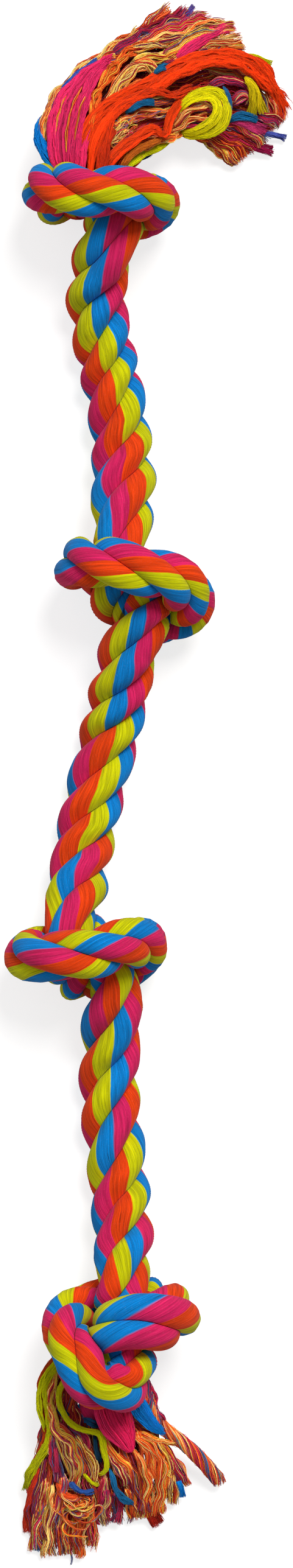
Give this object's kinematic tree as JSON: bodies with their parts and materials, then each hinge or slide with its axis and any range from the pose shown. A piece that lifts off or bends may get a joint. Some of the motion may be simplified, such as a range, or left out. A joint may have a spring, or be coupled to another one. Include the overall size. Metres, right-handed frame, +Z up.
{
  "type": "rope dog toy",
  "caption": "Thick three-strand cotton rope tug toy with overhand knots along its length and a frayed yarn tassel at each end, in striped pink, orange, yellow-green and blue.",
  "frame": {"origin": "centre of the toy's outline, on the floor that it lies on", "axes": "+Y along the toy towards the upper tassel, +Z up from the floor, +X to the right seen from above"},
  "size_m": [0.1492, 0.8483, 0.0764],
  "materials": {
    "cotton_striped": "matte combed cotton roving in four equal stripes of pink, orange, yellow-green and blue",
    "cotton_pink": "matte pink cotton yarn",
    "cotton_orange": "matte orange cotton yarn",
    "cotton_yellow": "matte yellow cotton yarn",
    "cotton_blue": "matte blue cotton yarn"
  },
  "bodies": {
    "knot_2": {"knot_2_strand_a": "cotton_striped", "knot_2_strand_b": "cotton_striped", "knot_2_strand_c": "cotton_striped"},
    "tassel_top": {"tassel_top_blue_a": "cotton_blue", "tassel_top_pink_a": "cotton_pink", "tassel_top_pink_b": "cotton_pink", "tassel_top_orange_a": "cotton_orange", "tassel_top_orange_b": "cotton_orange", "tassel_top_yellow_a": "cotton_yellow", "tassel_top_blue_b": "cotton_blue", "tassel_top_pink_c": "cotton_pink", "tassel_top_orange_c": "cotton_orange", "tassel_top_yellow_b": "cotton_yellow", "tassel_top_blue_c": "cotton_blue", "tassel_top_yellow_c": "cotton_yellow"},
    "knot_1": {"knot_1_strand_a": "cotton_striped", "knot_1_strand_b": "cotton_striped", "knot_1_strand_c": "cotton_striped"},
    "span_1_upper": {"span_1_upper_strand_a": "cotton_striped", "span_1_upper_strand_b": "cotton_striped", "span_1_upper_strand_c": "cotton_striped"},
    "span_1_lower": {"span_1_lower_strand_a": "cotton_striped", "span_1_lower_strand_b": "cotton_striped", "span_1_lower_strand_c": "cotton_striped"},
    "span_2_upper": {"span_2_upper_strand_a": "cotton_striped", "span_2_upper_strand_b": "cotton_striped", "span_2_upper_strand_c": "cotton_striped"},
    "span_2_lower": {"span_2_lower_strand_a": "cotton_striped", "span_2_lower_strand_b": "cotton_striped", "span_2_lower_strand_c": "cotton_striped"},
    "knot_3": {"knot_3_strand_a": "cotton_striped", "knot_3_strand_b": "cotton_striped", "knot_3_strand_c": "cotton_striped"},
    "span_3_upper": {"span_3_upper_strand_a": "cotton_striped", "span_3_upper_strand_b": "cotton_striped", "span_3_upper_strand_c": "cotton_striped"},
    "span_3_lower": {"span_3_lower_strand_a": "cotton_striped", "span_3_lower_strand_b": "cotton_striped", "span_3_lower_strand_c": "cotton_striped"},
    "knot_4": {"knot_4_strand_a": "cotton_striped", "knot_4_strand_b": "cotton_striped", "knot_4_strand_c": "cotton_striped"},
    "tassel_bottom": {"tassel_bottom_yellow_a": "cotton_yellow", "tassel_bottom_orange_a": "cotton_orange", "tassel_bottom_pink_a": "cotton_pink", "tassel_bottom_pink_b": "cotton_pink", "tassel_bottom_blue_a": "cotton_blue", "tassel_bottom_orange_b": "cotton_orange", "tassel_bottom_yellow_b": "cotton_yellow", "tassel_bottom_orange_c": "cotton_orange", "tassel_bottom_blue_b": "cotton_blue", "tassel_bottom_yellow_c": "cotton_yellow", "tassel_bottom_pink_c": "cotton_pink", "tassel_bottom_blue_c": "cotton_blue"}
  },
  "joints": [
    {"name": "span_1_swing", "type": "hinge", "parent": "knot_2", "child": "span_1_lower", "pos_m": [-0.00882, 0.14864, 0.02562], "axis": [0, 0, 1], "range_deg": [-30, 30]},
    {"name": "span_1_fold", "type": "hinge", "parent": "span_1_lower", "child": "span_1_upper", "pos_m": [-0.01538, 0.21987, 0.01248], "axis": [0.9781, 0.2082, 0], "range_deg": [0, 60]},
    {"name": "knot_1_swing", "type": "hinge", "parent": "span_1_upper", "child": "knot_1", "pos_m": [-0.01866, 0.28596, 0.03473], "axis": [0, 0, -1], "range_deg": [-30, 30]},
    {"name": "tassel_top_flop", "type": "hinge", "parent": "knot_1", "child": "tassel_top", "pos_m": [-0.03627, 0.3471, 0.03417], "axis": [0.6606, -0.7507, 0], "range_deg": [0, 35]},
    {"name": "span_2_swing", "type": "hinge", "parent": "knot_2", "child": "span_2_upper", "pos_m": [-0.00569, 0.07003, 0.02917], "axis": [0, 0, 1], "range_deg": [-30, 30]},
    {"name": "span_2_fold", "type": "hinge", "parent": "span_2_upper", "child": "span_2_lower", "pos_m": [-0.02171, 0.00366, 0.01249], "axis": [-0.967, 0.2548, 0], "range_deg": [0, 60]},
    {"name": "knot_3_swing", "type": "hinge", "parent": "span_2_lower", "child": "knot_3", "pos_m": [-0.03502, -0.06338, 0.0277], "axis": [0, 0, -1], "range_deg": [-30, 30]},
    {"name": "span_3_swing", "type": "hinge", "parent": "knot_3", "child": "span_3_upper", "pos_m": [-0.0143, -0.12354, 0.02861], "axis": [0, 0, -1], "range_deg": [-30, 30]},
    {"name": "span_3_fold", "type": "hinge", "parent": "span_3_upper", "child": "span_3_lower", "pos_m": [-0.01455, -0.19134, 0.01247], "axis": [-0.9925, -0.1226, 0], "range_deg": [0, 60]},
    {"name": "knot_4_swing", "type": "hinge", "parent": "span_3_lower", "child": "knot_4", "pos_m": [-0.00842, -0.26034, 0.02585], "axis": [0, 0, 1], "range_deg": [-30, 30]},
    {"name": "tassel_bottom_flop", "type": "hinge", "parent": "knot_4", "child": "tassel_bottom", "pos_m": [-0.02094, -0.34823, 0.01417], "axis": [-1, 0, 0], "range_deg": [0, 35]}
  ]
}
